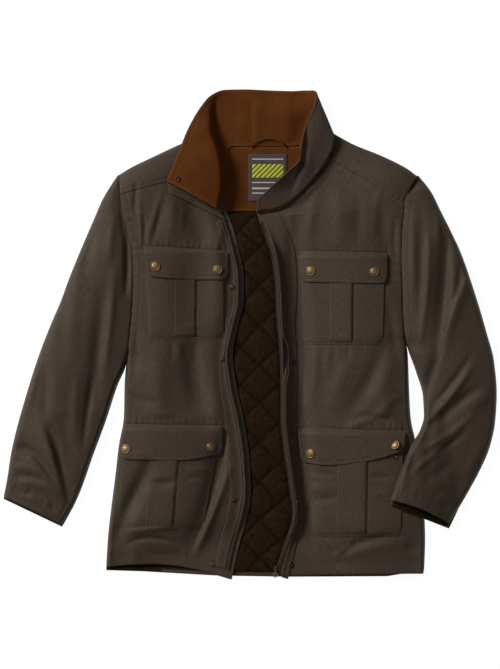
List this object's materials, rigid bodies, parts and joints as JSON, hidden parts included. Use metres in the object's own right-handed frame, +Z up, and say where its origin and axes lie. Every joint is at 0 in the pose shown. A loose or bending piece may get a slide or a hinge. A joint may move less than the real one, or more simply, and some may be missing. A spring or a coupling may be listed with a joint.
{
  "type": "waxed cotton jacket laid flat",
  "caption": "Hip-length waxed cotton field jacket laid flat with its fronts open, corduroy-lined collar, patch pockets with snapped flaps and a zip front.",
  "frame": {"origin": "middle of the whole layout, on the surface it lies on", "axes": "+Z up from the surface, +Y from the hem to the collar, +X to the viewer's right seen from above, which is the wearer's left"},
  "size_m": [0.8867, 0.8812, 0.0542],
  "materials": {
    "shell": "waxed cotton, dark olive brown, soft waxy sheen",
    "corduroy": "fine-wale brown corduroy",
    "lining": "dark brown quilted lining",
    "brass": "antique brass",
    "label": "woven label with plain stripes",
    "sleeve_patch": "plain woven patch",
    "zip_tape": "woven zip tape with brass teeth"
  },
  "bodies": {
    "jacket": {"back": "shell", "back_lining": "lining", "cap_1": "brass", "cap_2": "brass", "cap_3": "brass", "cap_4": "brass", "cap_5": "brass", "cap_6": "brass", "cap_7": "brass", "cap_8": "brass", "chest_flap_left": "shell", "chest_flap_right": "shell", "chest_pocket_left": "shell", "chest_pocket_right": "shell", "collar_corduroy": "corduroy", "collar_shell": "shell", "collar_snap": "brass", "cuff_lining_left": "lining", "front_left": "shell", "front_right": "shell", "hanger_loop": "lining", "label": "label", "lower_flap_left": "shell", "lower_flap_right": "shell", "lower_pocket_left": "shell", "lower_pocket_right": "shell", "neck_facing": "corduroy", "placket_right": "shell", "pocket_socket": "brass", "sleeve_patch": "sleeve_patch", "socket_1": "brass", "socket_2": "brass", "socket_3": "brass", "socket_4": "brass", "storm_flap_left": "shell", "stud_1": "brass", "stud_2": "brass", "stud_3": "brass", "stud_4": "brass", "top_sleeve_left": "shell", "top_sleeve_right": "shell", "under_sleeve_left": "shell", "under_sleeve_right": "shell", "yoke_left": "shell", "yoke_right": "shell", "zip_slider": "brass", "zip_tape_left": "zip_tape", "zip_tape_right": "zip_tape"},
    "zip_pull": {"zip_pull": "brass"}
  },
  "joints": [
    {"name": "pull_hinge", "type": "hinge", "parent": "jacket", "child": "zip_pull", "pos_m": [0.04573, -0.42309, 0.01541], "axis": [-1, 0, 0], "range_deg": [0, 170]}
  ]
}
